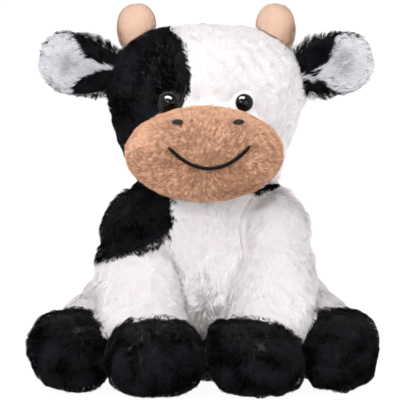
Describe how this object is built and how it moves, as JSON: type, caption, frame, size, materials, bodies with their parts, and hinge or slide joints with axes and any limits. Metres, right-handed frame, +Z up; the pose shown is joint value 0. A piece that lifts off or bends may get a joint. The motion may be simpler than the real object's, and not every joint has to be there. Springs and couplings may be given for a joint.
{
  "type": "plush cow",
  "caption": "Seated stuffed cow toy with patchwork fur, a wide muzzle with a stitched smile, domed eyes, two short horns, lined ears and a tail.",
  "frame": {"origin": "middle of the bounding box on the floor that the cow sits on", "axes": "+Z up, the cow faces -Y, +X is the toy's own left side"},
  "size_m": [0.2518, 0.1966, 0.2706],
  "materials": {
    "white_plush": "long soft pile plush, off-white",
    "black_plush": "long soft pile plush, black",
    "tan_plush": "short dense pile plush, tan",
    "lining_plush": "short pile plush, pale grey",
    "horn_plush": "brushed short velour, pale peach",
    "eye_plastic": "glossy domed black plastic",
    "washer_plastic": "plain moulded plastic",
    "nostril_thread": "satin stitch embroidery, dark grey",
    "mouth_thread": "satin stitch embroidery, black"
  },
  "bodies": {
    "body": {"torso": "white_plush", "saddle_patch": "black_plush"},
    "head_body": {"head": "white_plush", "head_patch": "black_plush", "muzzle": "tan_plush", "mouth": "mouth_thread", "nostril_left": "nostril_thread", "nostril_right": "nostril_thread", "eye_left": "eye_plastic", "eye_right": "eye_plastic", "eye_washer_left": "washer_plastic", "eye_washer_right": "washer_plastic", "horn_left": "horn_plush", "horn_right": "horn_plush"},
    "left_ear": {"ear_left": "black_plush", "ear_lining_left": "lining_plush"},
    "right_ear": {"ear_right": "black_plush", "ear_lining_right": "lining_plush"},
    "left_arm": {"front_leg_left": "white_plush", "front_hoof_left": "black_plush"},
    "right_arm": {"front_leg_right": "white_plush", "shoulder_patch": "black_plush", "front_hoof_right": "black_plush"},
    "left_leg": {"hind_leg_left": "white_plush", "hind_hoof_left": "black_plush"},
    "right_leg": {"hind_leg_right": "white_plush", "hind_hoof_right": "black_plush"},
    "tail_body": {"tail": "white_plush", "tail_tuft": "black_plush"}
  },
  "joints": [
    {"name": "neck_turn", "type": "hinge", "parent": "body", "child": "head_body", "pos_m": [0, 0.02237, 0.109], "axis": [0, 0, 1], "range_deg": [-12, 12], "stiffness_Nm_per_rad": 0.25},
    {"name": "left_ear_fold", "type": "hinge", "parent": "head_body", "child": "left_ear", "pos_m": [0.06497, 0.02637, 0.2205], "axis": [0, 0, 1], "range_deg": [-15, 15], "stiffness_Nm_per_rad": 0.01},
    {"name": "right_ear_fold", "type": "hinge", "parent": "head_body", "child": "right_ear", "pos_m": [-0.06497, 0.02637, 0.2205], "axis": [0, 0, 1], "range_deg": [-15, 15], "stiffness_Nm_per_rad": 0.01},
    {"name": "left_shoulder_lift", "type": "hinge", "parent": "body", "child": "left_arm", "pos_m": [0.047, 0.00637, 0.1085], "axis": [-1, 0, 0], "range_deg": [0, 20]},
    {"name": "right_shoulder_lift", "type": "hinge", "parent": "body", "child": "right_arm", "pos_m": [-0.047, 0.00637, 0.1085], "axis": [-1, 0, 0], "range_deg": [0, 20]},
    {"name": "left_hip_splay", "type": "hinge", "parent": "body", "child": "left_leg", "pos_m": [0.06, 0.02837, 0.041], "axis": [0, 0, 1], "range_deg": [0, 30], "stiffness_Nm_per_rad": 0.05},
    {"name": "right_hip_splay", "type": "hinge", "parent": "body", "child": "right_leg", "pos_m": [-0.06, 0.02837, 0.041], "axis": [0, 0, -1], "range_deg": [0, 30], "stiffness_Nm_per_rad": 0.05},
    {"name": "tail_lift", "type": "hinge", "parent": "body", "child": "tail_body", "pos_m": [0, 0.07669, 0.07], "axis": [1, 0, 0], "range_deg": [0, 45]}
  ]
}
